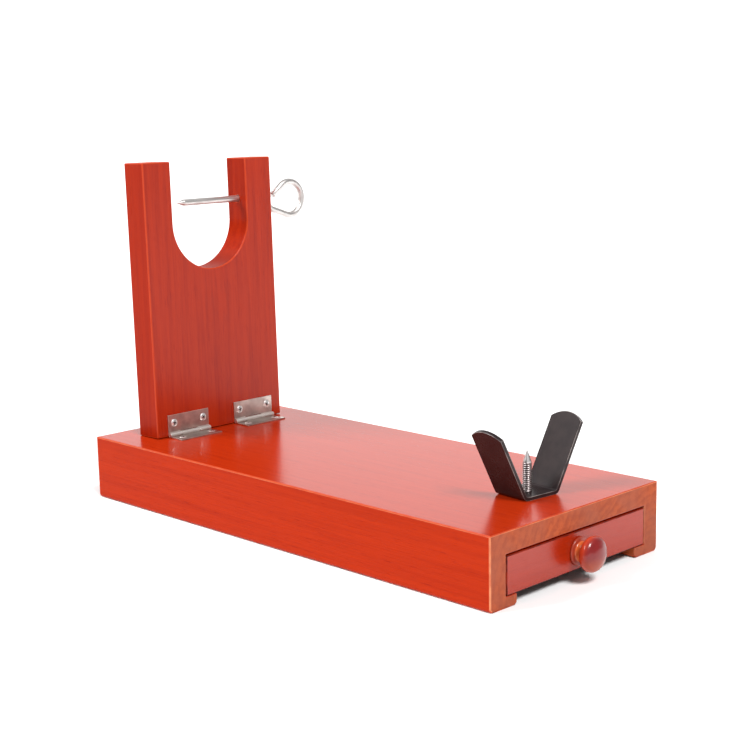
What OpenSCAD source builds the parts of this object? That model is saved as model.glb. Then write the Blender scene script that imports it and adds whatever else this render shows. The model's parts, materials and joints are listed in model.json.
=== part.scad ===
// Ham holder stand: a wooden base with a knife drawer, a folding notched
// upright with a skewer through one prong, and a steel V rest with a spike.
// Frame: +Z up, X across, Y along. The drawer opens towards -Y and the upright
// stands at the +Y end. Origin: middle of the base's footprint on the table.

/* [Base] */
// Width of the base
base_width = 170; // [164:1:180]
// Length of the base
base_length = 400; // [390:1:430]
// Height of the base
base_height = 48; // [46:0.5:54]
// Width of the drawer channel
channel_width = 140.6; // [136:0.2:144]
// Depth of the drawer channel from the front end
channel_length = 350; // [330:5:360]
// Height of the two ledges that carry the drawer and stand on the table
ledge_height = 7.4; // [6:0.2:9]
// Height of the drawer channel above the ledges
channel_height = 26.1; // [24:0.1:28]
// Clear width between the two ledges
slot_width = 120; // [112:1:124]
// Radius on the lower corners of the base
foot_rounding = 3; // [1:0.5:3.5]

/* [Upright] */
// Width of the upright board
board_width = 124; // [118:1:130]
// Height of the upright board
board_height = 208.5; // [200:0.5:215]
// Thickness of the upright board
board_thickness = 23; // [20:0.5:26]
// Distance from the hinge axis to the rear end of the base
hinge_setback = 48; // [44:1:60]
// Sideways place of the board's centre line
board_offset = 1.5; // [-3:0.5:3]
// Backward lean of the board where it rests on the base
lean_angle = 1; // [0:0.25:2]
// Width of the U-shaped notch
notch_width = 73; // [66:1:78]
// Height of the notch's lowest point above the board's lower edge
notch_floor = 125.3; // [115:0.5:135]

/* [Skewer] */
// Diameter of the skewer rod
rod_diameter = 5.2; // [4.2:0.2:6]
// Height of the skewer above the hinge axis
skewer_height = 175; // [165:1:185]
// Reach of the skewer's point past the board's centre line
skewer_reach = 23.6; // [15:0.2:30]
// Length of the conical point
skewer_point = 6.5; // [4:0.5:10]
// Radius of the eye, to the middle of the rod
eye_radius = 13.5; // [11:0.5:16]

/* [Hinges] */
// Length of each hinge along its pin
hinge_length = 39; // [34:1:44]
// Sideways distance from the board's centre line to each hinge's middle
hinge_spread = 32.6; // [28:0.2:36]
// Distance from the hinge axis to both mounting faces
axis_offset = 2; // [1.9:0.1:2.4]
// Thickness of each leaf
leaf_thickness = 1; // [0.8:0.1:1.1]
// Reach of each leaf from the hinge axis
leaf_reach = 15.2; // [14:0.2:18]
// Distance from the hinge axis to each row of screws
screw_row = 9; // [8:0.5:10]
// Distance between the two screws of a leaf
screw_spacing = 28; // [24:1:30]

/* [V rest] */
// Sideways place of the V rest
rest_offset = 2.5; // [-8:0.5:8]
// Distance from the V rest's middle to the front end of the base
rest_setback = 43.7; // [40:0.1:60]
// Turn of the V rest about its spike, clockwise from above when it is below zero
rest_turn = -5.7; // [-8:0.1:8]
// Width of the steel strip
strip_width = 26.8; // [24:0.2:34]
// Thickness of the steel strip
strip_thickness = 2.6; // [2:0.1:4]
// Half width of the flat floor, to the arms' outer faces
rest_half_width = 14.8; // [13:0.2:18]
// Mean height of the arms' corners above the base
arm_height = 43; // [36:1:50]
// Height that the +X arm has over the mean, and the other arm under it
arm_height_step = 0.6; // [-2:0.1:2]
// Mean angle of the arms from the vertical
arm_flare = 27.5; // [20:0.5:35]
// Angle that the +X arm has over the mean, and the other arm under it
arm_flare_step = 0.6; // [-2:0.1:2]
// Height of the arc that ends each arm
arm_crown = 4.8; // [3:0.2:7]

/* [Spike] */
// Diameter over the thread
spike_diameter = 6.3; // [5.5:0.1:7]
// Height of the point above the base
spike_height = 29; // [26:1:36]
// Length of the conical point
spike_point = 7.6; // [6:0.2:10]
// Pitch of the thread
thread_pitch = 1.3; // [1:0.1:1.5]

/* [Drawer] */
// Gap round the drawer front at each side
side_gap = 0.6; // [0.4:0.1:1]
// Gap above the drawer front
top_gap = 1.1; // [0.8:0.1:1.5]
// Thickness of the drawer front
front_thickness = 12; // [10:0.5:14]
// Thickness of the drawer's sides
side_thickness = 8; // [6:0.5:9]
// Thickness of the drawer's back
back_thickness = 10; // [8:0.5:12]
// Thickness of the drawer's bottom panel
bottom_thickness = 3; // [2.5:0.5:4]
// Diameter of the knob's head
knob_diameter = 23.2; // [20:0.2:26]
// Distance the knob stands out from the drawer front
knob_reach = 17.2; // [16.4:0.2:19]

/* [Hidden] */

$fn = 64;
cut = 1;            // how far a cutting shape runs past the face that it cuts
clearance = 0.05;   // between a bolt, pin or screw and its hole
running_gap = 0.08; // between the sliding skewer and its hole
loose_gap = 0.3;    // between the drawer and the base that it slides in

lacquer_red = [0.77, 0.24, 0.13];
knob_red = [0.62, 0.14, 0.13];
pale_wood = [0.85, 0.70, 0.50];
nickel = [0.66, 0.62, 0.58];
bright_steel = [0.80, 0.80, 0.79];
black_paint = [0.09, 0.08, 0.08];

front_end = -base_length / 2;
channel_end = front_end + channel_length;
channel_top = ledge_height + channel_height;

hinge_y = base_length / 2 - hinge_setback;
hinge_z = base_height + axis_offset;
// The board's lower edge, from the hinge axis: the rear corner just clears the base
rest_gap = 0.1;
board_foot = rest_gap - axis_offset + (axis_offset + board_thickness) * sin(lean_angle);
board_middle = axis_offset + board_thickness / 2;

pin_radius = 0.95;
knuckle_radius = 1.85;
knuckle_gap = 0.2;
end_knuckle = 11.2;
leaf_relief = knuckle_radius + 0.25;

head_radius = 2.9;
head_crown = 0.8;
shank_radius = 1.4;
shank_length = 10.5;
tip_length = 3;
slot_size = [0.7, 3.4, 1.2];

rod_radius = rod_diameter / 2;
bend_shrink = 0.03;
run_overlap = 0.3;
// The skewer's kink and eye, as bends [radius, angle] and straight runs [length]
kink_start = board_width / 2 + 0.6;
kink_radius = 5;
kink_angle = 75;
lead_in_angle = 19;
lead_out_angle = 38;
eye_path = [
    [kink_radius, -kink_angle],
    [2.4],
    [kink_radius + 2, kink_angle - lead_in_angle],
    [15.1],
    [eye_radius, lead_in_angle + 180 + lead_out_angle],
    [12.5]
];

bend_outer = 5;
bend_crossing = 0.002; // the straight runs lie this far inside the bend, to cross it cleanly
// Angle from the vertical and height of the +X arm, then of the other one
right_arm = [arm_flare + arm_flare_step, arm_height + arm_height_step];
left_arm = [arm_flare - arm_flare_step, arm_height - arm_height_step];
function arm_rise(arm) = 90 - arm[0];
function arm_start(arm) = bend_outer * tan(arm_rise(arm) / 2);
function floor_half(arm) = rest_half_width - arm_start(arm);
function arm_corner(arm) = arm[1] / cos(arm[0]) - arm_start(arm);
function arm_end(arm) = arm_corner(arm) + arm_crown + cut;
crown_radius = (pow(strip_width / 2, 2) + pow(arm_crown, 2)) / (2 * arm_crown);

spike_radius = spike_diameter / 2;
thread_depth = 0.7;
spike_head_radius = 5.7;
spike_head_height = 2.8;

front_half = channel_width / 2 - side_gap;
front_low = ledge_height + loose_gap;
front_high = channel_top - top_gap;
side_outer = front_half - 0.2;
side_inner = side_outer - side_thickness;
side_high = front_high - 2;
drawer_end = channel_end - loose_gap;
lip = 4;            // wood left in front of each side's rebate
groove_depth = 3;
panel_low = front_low + 2.5;
panel_high = panel_low + bottom_thickness;
knob_height = (front_low + front_high) / 2 - 0.6;
knob_bore_depth = 12;
knob_screw_radius = 2;
brad_radius = 0.7;
brad_head_radius = 1.2;
brad_head = 0.8;
brad_length = 19;
brad_rows = [panel_high + 3.5, side_high - 4.5];

// ---------------------------------------------------------------- frames

// Children are drawn from the hinge axis, at the middle of the board, leaning with it
module on_upright() {
    translate([board_offset, hinge_y, hinge_z])
        rotate([-lean_angle, 0, 0])
            children();
}

// Children are drawn from the hinge axis, upright, at the middle of the board
module on_base_hinge() {
    translate([board_offset, hinge_y, hinge_z])
        children();
}

// Children point along -Y from the drawer front's face, on the knob's axis
module on_knob() {
    translate([0, front_end, knob_height])
        rotate([90, 0, 0])
            children();
}

// Children are drawn once for each screw of both hinges, pointing down at the leaf
module at_leaf_screws() {
    for (side = [-1, 1], end = [-1, 1])
        translate([side * hinge_spread + end * screw_spacing / 2, -screw_row, -axis_offset])
            children();
}

// Turns a leaf that lies on the base into one that stands against the board
module stood_up() {
    rotate([-90, 0, 0])
        mirror([0, 0, 1])
            children();
}

// ---------------------------------------------------------------- base

module lower_edge(side) {
    edge = side * base_width / 2;
    translate([edge - side * foot_rounding, foot_rounding])
        circle(r = foot_rounding);
}

// One ledge, rounded at its lower outer and lower inner edges
module ledge_section(side) {
    inner = slot_width / 2 + foot_rounding;
    outer = base_width / 2 - foot_rounding;
    lower_edge(side);
    translate([side * inner, foot_rounding])
        circle(r = foot_rounding);
    translate([side > 0 ? inner : -outer, 0])
        square([outer - inner, 2 * foot_rounding]);
    translate([side > 0 ? slot_width / 2 : -base_width / 2, foot_rounding])
        square([(base_width - slot_width) / 2, ledge_height - foot_rounding]);
}

module channel_section() {
    cheek = (base_width - channel_width) / 2;
    ledge_section(-1);
    ledge_section(1);
    for (x = [-base_width / 2, channel_width / 2])
        translate([x, foot_rounding])
            square([cheek, base_height - foot_rounding]);
    translate([-base_width / 2, channel_top])
        square([base_width, base_height - channel_top]);
}

module solid_section() {
    lower_edge(-1);
    lower_edge(1);
    translate([foot_rounding - base_width / 2, 0])
        square([base_width - 2 * foot_rounding, 2 * foot_rounding]);
    translate([-base_width / 2, foot_rounding])
        square([base_width, base_height - foot_rounding]);
}

module along_base(from, to) {
    translate([0, to, 0])
        rotate([90, 0, 0])
            linear_extrude(height = to - from)
                children();
}

module spike_hole() {
    translate([rest_offset, front_end + rest_setback, channel_top]) {
        translate([0, 0, -cut])
            cylinder(r = spike_radius + clearance, h = base_height - channel_top + 2 * cut);
        cylinder(
            r1 = spike_head_radius + clearance,
            r2 = spike_radius + clearance,
            h = spike_head_height
        );
    }
}

module base_block() {
    color(lacquer_red)
        difference() {
            union() {
                along_base(front_end, channel_end) channel_section();
                along_base(channel_end, base_length / 2) solid_section();
            }
            spike_hole();
            on_base_hinge() at_leaf_screws() screw_hole();
        }
}

// ---------------------------------------------------------------- V rest

// One side of the filled V, as wide as a radius from the bend's centre
module cup_side(radius, arm, reach) {
    straight = radius - bend_crossing;
    rise = arm_rise(arm);
    translate([-cut, bend_outer - straight])
        square([floor_half(arm) + cut, straight]);
    translate([floor_half(arm), bend_outer]) {
        circle(r = radius);
        rotate(rise)
            translate([0, -straight])
                square([reach, straight]);
    }
    polygon([
        [-cut, bend_outer],
        [floor_half(arm), bend_outer],
        [floor_half(arm) + reach * cos(rise), bend_outer + reach * sin(rise)],
        [-cut, bend_outer + reach * sin(rise)]
    ]);
}

module cup(radius, extra) {
    cup_side(radius, right_arm, arm_end(right_arm) + extra);
    mirror([1, 0]) cup_side(radius, left_arm, arm_end(left_arm) + extra);
}

// The bent strip seen from its edge, a little longer than its arms
module strip_section() {
    difference() {
        cup(bend_outer, 0);
        cup(bend_outer - strip_thickness, cut);
    }
}

// Everything that the arc at the end of one arm leaves
module arm_limit(arm) {
    centre = arm_corner(arm) + arm_crown - crown_radius;
    translate([floor_half(arm), 0, bend_outer])
        rotate([0, -arm_rise(arm), 0])
            translate([0, 0, -bend_outer - cut])
                linear_extrude(height = strip_thickness + 2 * cut) {
                    translate([-cut, -strip_width / 2 - cut])
                        square([centre + cut, strip_width + 2 * cut]);
                    translate([centre, 0])
                        circle(r = crown_radius, $fn = 128);
                }
}

module rest_limit() {
    bend_reach = rest_half_width + bend_outer;
    translate([-bend_reach, -strip_width / 2 - cut, -cut])
        cube([2 * bend_reach, strip_width + 2 * cut, bend_outer + cut]);
    arm_limit(right_arm);
    mirror([1, 0, 0]) arm_limit(left_arm);
}

module v_rest() {
    color(black_paint)
        translate([rest_offset, front_end + rest_setback, base_height])
            rotate([0, 0, rest_turn])
                difference() {
                    intersection() {
                        translate([0, strip_width / 2, 0])
                            rotate([90, 0, 0])
                                linear_extrude(height = strip_width)
                                    strip_section();
                        rest_limit();
                    }
                    translate([0, 0, -cut])
                        cylinder(r = spike_radius + clearance, h = strip_thickness + 2 * cut);
                }
}

// ---------------------------------------------------------------- spike

// Half profile of the ridges that stand above the V rest's floor
function ridges(low, high) = [
    for (z = [low : thread_pitch : high - thread_pitch])
        each [
            [spike_radius - thread_depth, z],
            [spike_radius, z + thread_pitch / 2]
        ]
];

module spike_screw() {
    floor_z = base_height + strip_thickness;
    point_z = base_height + spike_height - spike_point;
    tip_radius = 0.3;
    outline = concat(
        [
            [0, channel_top],
            [spike_head_radius, channel_top],
            [spike_radius, channel_top + spike_head_height],
            [spike_radius, floor_z]
        ],
        ridges(floor_z, point_z),
        [
            [spike_radius - thread_depth / 2, point_z],
            [tip_radius, point_z + spike_point],
            [0, point_z + spike_point]
        ]
    );
    color(bright_steel)
        translate([rest_offset, front_end + rest_setback, 0])
            difference() {
                rotate_extrude() polygon(outline);
                translate([0, 0, channel_top]) cross_recess(5.6, 1.3, 2);
            }
}

// A cross-shaped driver recess, half above and half below z = 0
module cross_recess(span, blade, depth) {
    for (turn = [0, 90])
        rotate([0, 0, turn])
            cube([span, blade, 2 * depth], center = true);
}

// ---------------------------------------------------------------- hinges

// Hole for one hinge screw, in the leaf and in the wood under it
module screw_hole() {
    translate([0, 0, -shank_length - cut])
        cylinder(r = shank_radius + clearance, h = shank_length + leaf_thickness + 2 * cut);
    cylinder(r1 = shank_radius + clearance, r2 = head_radius + clearance, h = leaf_thickness);
}

// A raised countersunk wood screw, its head seated in a leaf that lies on z = 0
module hinge_screw() {
    dome_radius = (pow(head_radius, 2) + pow(head_crown, 2)) / (2 * head_crown);
    difference() {
        union() {
            translate([0, 0, tip_length - shank_length])
                cylinder(r = shank_radius, h = shank_length - tip_length);
            translate([0, 0, -shank_length])
                cylinder(r1 = 0.2, r2 = shank_radius, h = tip_length);
            cylinder(r1 = shank_radius, r2 = head_radius, h = leaf_thickness);
            intersection() {
                translate([0, 0, leaf_thickness + head_crown - dome_radius])
                    sphere(r = dome_radius);
                translate([0, 0, leaf_thickness - 0.01])
                    cylinder(r = head_radius, h = head_crown + 0.02);
            }
        }
        translate([0, 0, leaf_thickness + head_crown])
            cross_recess(slot_size[1], slot_size[0], slot_size[2]);
    }
}

module knuckle(from, to) {
    translate([from, 0, 0])
        rotate([0, 90, 0])
            cylinder(r = knuckle_radius, h = to - from);
}

// The plate of a leaf between two places along the pin
module leaf_plate(from, to, near) {
    translate([from, -leaf_reach, -axis_offset])
        cube([to - from, leaf_reach - near, leaf_thickness]);
}

module pin_bore() {
    translate([-hinge_length / 2 - cut, 0, 0])
        rotate([0, 90, 0])
            cylinder(r = pin_radius + clearance, h = hinge_length + 2 * cut);
}

// The leaf with the middle knuckle, lying on the base in front of the pin
module middle_leaf() {
    half = hinge_length / 2;
    inner = half - end_knuckle - knuckle_gap / 2;
    difference() {
        union() {
            knuckle(-inner, inner);
            leaf_plate(-half, half, leaf_relief);
            leaf_plate(-inner, inner, 0);
        }
        pin_bore();
    }
}

// The leaf with the two end knuckles, lying on the base in front of the pin
module end_leaf() {
    half = hinge_length / 2;
    inner = half - end_knuckle + knuckle_gap / 2;
    difference() {
        union() {
            knuckle(-half, -inner);
            knuckle(inner, half);
            leaf_plate(-half, half, leaf_relief);
            leaf_plate(-half, -inner, 0);
            leaf_plate(inner, half, 0);
        }
        pin_bore();
    }
}

module base_leaf(side) {
    color(nickel)
        on_base_hinge()
            difference() {
                translate([side * hinge_spread, 0, 0]) middle_leaf();
                at_leaf_screws() screw_hole();
            }
}

module board_leaf(side) {
    color(nickel)
        on_upright()
            stood_up()
                difference() {
                    translate([side * hinge_spread, 0, 0]) end_leaf();
                    at_leaf_screws() screw_hole();
                }
}

module hinge_pin(side) {
    color(bright_steel)
        on_upright()
            translate([side * hinge_spread - hinge_length / 2, 0, 0])
                rotate([0, 90, 0])
                    cylinder(r = pin_radius, h = hinge_length);
}

module left_hinge_base_leaf() { base_leaf(-1); }
module right_hinge_base_leaf() { base_leaf(1); }
module left_hinge_board_leaf() { board_leaf(-1); }
module right_hinge_board_leaf() { board_leaf(1); }
module left_hinge_pin() { hinge_pin(-1); }
module right_hinge_pin() { hinge_pin(1); }

module hinge_base_screws() {
    color(bright_steel)
        on_base_hinge() at_leaf_screws() hinge_screw();
}

module hinge_board_screws() {
    color(bright_steel)
        on_upright() stood_up() at_leaf_screws() hinge_screw();
}

// ---------------------------------------------------------------- upright

module upright_outline() {
    notch_centre = notch_floor + notch_width / 2;
    difference() {
        translate([-board_width / 2, 0])
            square([board_width, board_height]);
        translate([0, notch_centre])
            circle(d = notch_width, $fn = 128);
        translate([-notch_width / 2, notch_centre])
            square([notch_width, board_height]);
    }
}

module upright_board() {
    color(lacquer_red)
        on_upright()
            difference() {
                translate([0, axis_offset + board_thickness, board_foot])
                    rotate([90, 0, 0])
                        linear_extrude(height = board_thickness)
                            upright_outline();
                translate([0, board_middle, skewer_height])
                    rotate([0, 90, 0])
                        cylinder(r = rod_radius + running_gap, h = board_width);
                stood_up() at_leaf_screws() screw_hole();
            }
}

// ---------------------------------------------------------------- skewer

// A bend is a hair thinner than the runs, which reach a little way over its ends
module rod_bend(radius, angle) {
    mirror([0, 0, angle < 0 ? 1 : 0])
        translate([0, 0, radius])
            rotate([90, 90, 0])
                rotate_extrude(angle = abs(angle))
                    translate([radius, 0])
                        circle(r = rod_radius - bend_shrink);
}

// Draws a path's bends and runs one after another, starting along +X
module rod_path(path, index = 0) {
    if (index < len(path)) {
        step = path[index];
        if (len(step) == 1) {
            translate([-run_overlap, 0, 0])
                rotate([0, 90, 0])
                    cylinder(r = rod_radius, h = step[0] + 2 * run_overlap);
            translate([step[0], 0, 0])
                rod_path(path, index + 1);
        } else {
            rod_bend(step[0], step[1]);
            translate([
                step[0] * sin(abs(step[1])),
                0,
                sign(step[1]) * step[0] * (1 - cos(step[1]))
            ])
                rotate([0, -step[1], 0])
                    rod_path(path, index + 1);
        }
    }
}

// The pointed straight rod, from its tip to the kink
module shaft() {
    tip_radius = 0.3;
    shaft_length = skewer_reach + kink_start;
    rotate([0, 90, 0])
        rotate_extrude()
            polygon([
                [0, 0],
                [tip_radius, 0],
                [rod_radius, skewer_point],
                [rod_radius, shaft_length + run_overlap],
                [0, shaft_length + run_overlap]
            ]);
}

module skewer() {
    color(bright_steel)
        on_upright()
            translate([-skewer_reach, board_middle, skewer_height]) {
                shaft();
                translate([skewer_reach + kink_start, 0, 0])
                    rod_path(eye_path);
            }
}

// ---------------------------------------------------------------- drawer

// A box given by its lowest and highest corners
module block(low, high) {
    translate(low)
        cube(high - low);
}

module bottom_panel_shape() {
    block(
        [-side_inner - groove_depth, front_end + front_thickness - groove_depth, panel_low],
        [side_inner + groove_depth, drawer_end, panel_high]
    );
}

// Children are drawn at each brad, pointing into the wood along +Z
module at_brads() {
    rows_y = [front_end + (front_thickness + lip) / 2, drawer_end - back_thickness / 2];
    for (side = [-1, 1], y = rows_y, z = brad_rows)
        translate([side * side_outer, y, z])
            rotate([0, -side * 90, 0])
                children();
    for (x = [-side_inner / 2, side_inner / 2])
        translate([x, drawer_end - back_thickness / 2, panel_low])
            children();
}

// A brad whose flat head is sunk level with z = 0, or the hole for it
module brad(gap) {
    translate([0, 0, -gap])
        cylinder(r = brad_head_radius + gap, h = brad_head + gap);
    cylinder(r = brad_radius + gap, h = brad_length);
}

module drawer_front() {
    color(lacquer_red)
        difference() {
            block([-front_half, front_end, front_low],
                  [front_half, front_end + front_thickness, front_high]);
            for (side = [-1, 1])
                block([side > 0 ? side_inner : -front_half - cut, front_end + lip, front_low - cut],
                      [side > 0 ? front_half + cut : -side_inner,
                       front_end + front_thickness + cut, front_high + cut]);
            bottom_panel_shape();
            on_knob()
                translate([0, 0, -front_thickness - cut])
                    cylinder(r = knob_screw_radius + clearance, h = front_thickness + 2 * cut);
            at_brads() brad(clearance);
        }
}

module drawer_side(side) {
    low_x = side > 0 ? side_inner : -side_outer;
    color(pale_wood)
        difference() {
            block([low_x, front_end + lip, front_low],
                  [low_x + side_thickness, drawer_end, side_high]);
            bottom_panel_shape();
            at_brads() brad(clearance);
        }
}

module drawer_left_side() { drawer_side(-1); }
module drawer_right_side() { drawer_side(1); }

module drawer_back() {
    color(pale_wood)
        difference() {
            block([-side_inner, drawer_end - back_thickness, panel_high],
                  [side_inner, drawer_end, side_high]);
            at_brads() brad(clearance);
        }
}

module drawer_bottom() {
    color(pale_wood)
        difference() {
            bottom_panel_shape();
            at_brads() brad(clearance);
        }
}

module drawer_brads() {
    color(bright_steel)
        at_brads() brad(0);
}

// Half profile of the turned knob: flange, neck and domed head
module knob_profile() {
    flange_radius = 9.4;
    flange_height = 1.8;
    neck_radius = 6.2;
    edge_radius = 4.3;
    edge_centre = 11;
    rim = knob_diameter / 2 - edge_radius;
    dome_radius = 19;
    square([flange_radius - flange_height / 2, flange_height]);
    translate([flange_radius - flange_height / 2, flange_height / 2])
        circle(d = flange_height, $fn = 32);
    square([neck_radius, edge_centre]);
    translate([0, edge_centre - edge_radius])
        square([rim, 2 * edge_radius]);
    translate([rim, edge_centre])
        circle(r = edge_radius);
    intersection() {
        translate([0, knob_reach - dome_radius])
            circle(r = dome_radius, $fn = 128);
        translate([0, edge_centre])
            square([rim, dome_radius]);
    }
}

module drawer_knob() {
    color(knob_red)
        on_knob()
            difference() {
                rotate_extrude() knob_profile();
                translate([0, 0, -cut])
                    cylinder(r = knob_screw_radius + clearance, h = knob_bore_depth + cut);
            }
}

module knob_screw() {
    screw_end = knob_bore_depth - 1;
    pan_radius = 3.8;
    pan_height = 2.4;
    color(nickel)
        on_knob()
            difference() {
                union() {
                    translate([0, 0, -front_thickness - 0.5])
                        cylinder(r = knob_screw_radius, h = front_thickness + 0.5 + screw_end);
                    translate([0, 0, -front_thickness - pan_height])
                        cylinder(r1 = pan_radius - 0.6, r2 = pan_radius, h = pan_height);
                }
                translate([0, 0, -front_thickness - pan_height])
                    cross_recess(4.6, 1, 1.4);
            }
}

base_block();
v_rest();
spike_screw();
left_hinge_base_leaf();
right_hinge_base_leaf();
hinge_base_screws();
upright_board();
left_hinge_board_leaf();
right_hinge_board_leaf();
left_hinge_pin();
right_hinge_pin();
hinge_board_screws();
skewer();
drawer_front();
drawer_left_side();
drawer_right_side();
drawer_back();
drawer_bottom();
drawer_brads();
drawer_knob();
knob_screw();
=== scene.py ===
"""The looks of a ham holder stand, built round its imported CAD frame.

+Z is up, the drawer opens towards -Y and the upright stands at the +Y end. Shapes are drawn in
millimetres and scaled to metres when they become meshes.
"""
import json
import math

import bmesh
import bpy
from mathutils import Matrix, Vector


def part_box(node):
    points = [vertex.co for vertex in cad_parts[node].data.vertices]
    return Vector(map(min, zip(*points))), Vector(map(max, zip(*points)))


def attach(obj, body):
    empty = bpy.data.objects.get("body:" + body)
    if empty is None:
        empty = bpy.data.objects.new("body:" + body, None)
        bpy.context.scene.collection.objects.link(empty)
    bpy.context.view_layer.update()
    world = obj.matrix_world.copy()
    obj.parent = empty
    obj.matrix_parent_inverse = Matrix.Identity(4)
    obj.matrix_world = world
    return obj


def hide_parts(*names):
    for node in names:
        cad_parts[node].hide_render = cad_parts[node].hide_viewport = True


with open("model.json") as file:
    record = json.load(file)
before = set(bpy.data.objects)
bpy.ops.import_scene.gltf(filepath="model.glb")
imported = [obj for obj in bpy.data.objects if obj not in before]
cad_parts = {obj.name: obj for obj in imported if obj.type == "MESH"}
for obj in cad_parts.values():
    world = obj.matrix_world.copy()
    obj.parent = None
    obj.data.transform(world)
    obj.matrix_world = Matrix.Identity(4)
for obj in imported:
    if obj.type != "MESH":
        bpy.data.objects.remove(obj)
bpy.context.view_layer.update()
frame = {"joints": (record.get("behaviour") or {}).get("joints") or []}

MM = 0.001
# How far cutting solids stand past the faces that they cut, in millimetres
OVERCUT = 1

# ---------------------------------------------------------------- sizes, in millimetres and degrees


def box_mm(node):
    """Lowest and highest corner of a CAD node."""
    low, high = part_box(node)
    return low / MM, high / MM


# Base and drawer channel
base_low, base_high = box_mm("base_block")
front_low, front_high = box_mm("drawer_front")
back_low, back_high = box_mm("drawer_back")
panel_low, panel_high = box_mm("drawer_bottom")
side_low, side_high = box_mm("drawer_right_side")
SIDE_GAP = 0.6
TOP_GAP = 1.1
LOOSE_GAP = 0.3
channel_half = front_high.x + SIDE_GAP
channel_top = front_high.z + TOP_GAP
channel_end = back_high.y + LOOSE_GAP
ledge_top = front_low.z - LOOSE_GAP
SLOT_HALF = 60
FOOT_ROUNDING = 3
ROUNDING_STEPS = 8
WOOD_EASE = 0.9

# Upright: its own axes start at the hinge axis and lean with it
fold = next(joint for joint in frame["joints"] if joint["name"] == "upright_fold")
hinge = Vector(fold["pos_m"]) / MM
LEAN = 1
board_low, board_high = box_mm("upright_board")
board_half = (board_high.x - board_low.x) / 2
BOARD_HEIGHT = 208.5
BOARD_THICKNESS = 23
AXIS_OFFSET = 2
REST_GAP = 0.1
board_foot = REST_GAP - AXIS_OFFSET + (AXIS_OFFSET + BOARD_THICKNESS) * math.sin(math.radians(LEAN))
board_middle = AXIS_OFFSET + BOARD_THICKNESS / 2
NOTCH_RADIUS = 36.5
NOTCH_FLOOR = 125.3

# Skewer
ROD_RADIUS = 2.6
ROD_BORE = 2.7
SKEWER_HEIGHT = 175
SKEWER_REACH = 23.6
SKEWER_POINT = 6.5
KINK_START = board_half + 0.6
# Bends as (radius, angle) and straight runs as (length,), in the order that the rod follows
EYE_PATH = [(5, -75), (2.4,), (7, 56), (15.1,), (13.5, 237), (12.5,)]

# Hinges and their screws
HINGE_SPREAD = 32.6
HINGE_HALF = 19.5
END_KNUCKLE = 11.2
KNUCKLE_GAP = 0.2
KNUCKLE_RADIUS = 1.85
PIN_RADIUS = 0.95
LEAF_REACH = 15.2
LEAF_THICKNESS = 1
LEAF_RELIEF = 2.1
SCREW_ROW = 9
SCREW_SPACING = 28
HEAD_RADIUS = 2.9
HEAD_CROWN = 0.8
# The driver's cross stays within this radius
RECESS_REACH = 2
SHANK_RADIUS = 1.4
SHANK_LENGTH = 10.5
SHANK_TIP = 3

# V rest and spike
spike_low, spike_high = box_mm("spike_screw")
rest_centre = (spike_low + spike_high) / 2
REST_TURN = -5.7
STRIP_HALF = 13.4
STRIP_THICKNESS = 2.6
BEND_OUTER = 5
REST_HALF = 14.8
# Angle from level and height of the +X arm, then of the other one
RIGHT_ARM = (61.9, 43.6)
LEFT_ARM = (63.1, 42.4)
ARM_CROWN = 4.8
SPIKE_RADIUS = 3.15
SPIKE_POINT = 7.6
SPIKE_HEAD_RADIUS = 5.7
SPIKE_HEAD_HEIGHT = 2.8
SPIKE_TIP_RADIUS = 0.25
THREAD_PITCH = 1.3
THREAD_DEPTH = 0.7
# Below one, this makes the thread's ridges fuller than its roots
RIDGE_POWER = 0.7

# Drawer and knob
LIP = 4
knob_low, knob_high = box_mm("drawer_knob")
knob_height = (knob_low.z + knob_high.z) / 2
knob_reach = knob_high.y - knob_low.y
knob_radius = (knob_high.x - knob_low.x) / 2
FLANGE_RADIUS = 9.4
FLANGE_HEIGHT = 1.8
NECK_RADIUS = 6.2
KNOB_EDGE_RADIUS = 4.3
KNOB_EDGE_CENTRE = 11
KNOB_EDGE_TURN = 62
KNOB_DOME_RADIUS = 19
NECK_FILLET = 1.2
THROAT_FILLET = 0.9
PAN_RADIUS = 3.8
PAN_HEIGHT = 2.4
PAN_ROUNDING = 1.2
BOLT_RADIUS = 2
BOLT_TIP_RADIUS = 1.4
BOLT_TIP = 1
BOLT_REACH = 11
BRAD_HEAD_RADIUS = 1.2
BRAD_HEAD_HEIGHT = 0.8
BRAD_RADIUS = 0.7
BRAD_TIP = 1.5
BRAD_LENGTH = 19
# The two rows of brads, above the bottom panel and below the top of the sides
BRAD_ABOVE_PANEL = 3.5
BRAD_BELOW_TOP = 4.5

# Span, blade and depth of the driver's cross in each kind of screw
SPIKE_CROSS = (5.6, 1.3, 2)
SCREW_CROSS = (3.6, 0.8, 1.3)
BOLT_CROSS = (4.6, 1, 1.4)

# ---------------------------------------------------------------- solids


def arc(centre, radius, start, end, steps):
    """Points along an arc, with its angles in degrees."""
    angles = [math.radians(start + (end - start) * i / steps) for i in range(steps + 1)]
    return [(centre[0] + radius * math.cos(a), centre[1] + radius * math.sin(a)) for a in angles]


def closed(bm):
    """Turns every face outwards."""
    bmesh.ops.recalc_face_normals(bm, faces=bm.faces)
    return bm


def moved(bm, matrix):
    """The solid, moved in place."""
    bm.transform(matrix)
    return closed(bm)


def at(x, y, z):
    """A shift by x, y and z."""
    return Matrix.Translation((x, y, z))


def prism(outline, low, high, axis):
    """A closed prism of a flat outline, from low to high along an axis."""
    place = {
        "X": lambda a, b, t: (t, a, b),
        "Y": lambda a, b, t: (a, t, b),
        "Z": lambda a, b, t: (a, b, t),
    }[axis]
    bm = bmesh.new()
    ends = [[bm.verts.new(place(a, b, t)) for a, b in outline] for t in (low, high)]
    for end in ends:
        bm.faces.new(end)
    for i in range(len(outline)):
        j = (i + 1) % len(outline)
        bm.faces.new((ends[0][i], ends[0][j], ends[1][j], ends[1][i]))
    return closed(bm)


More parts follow.
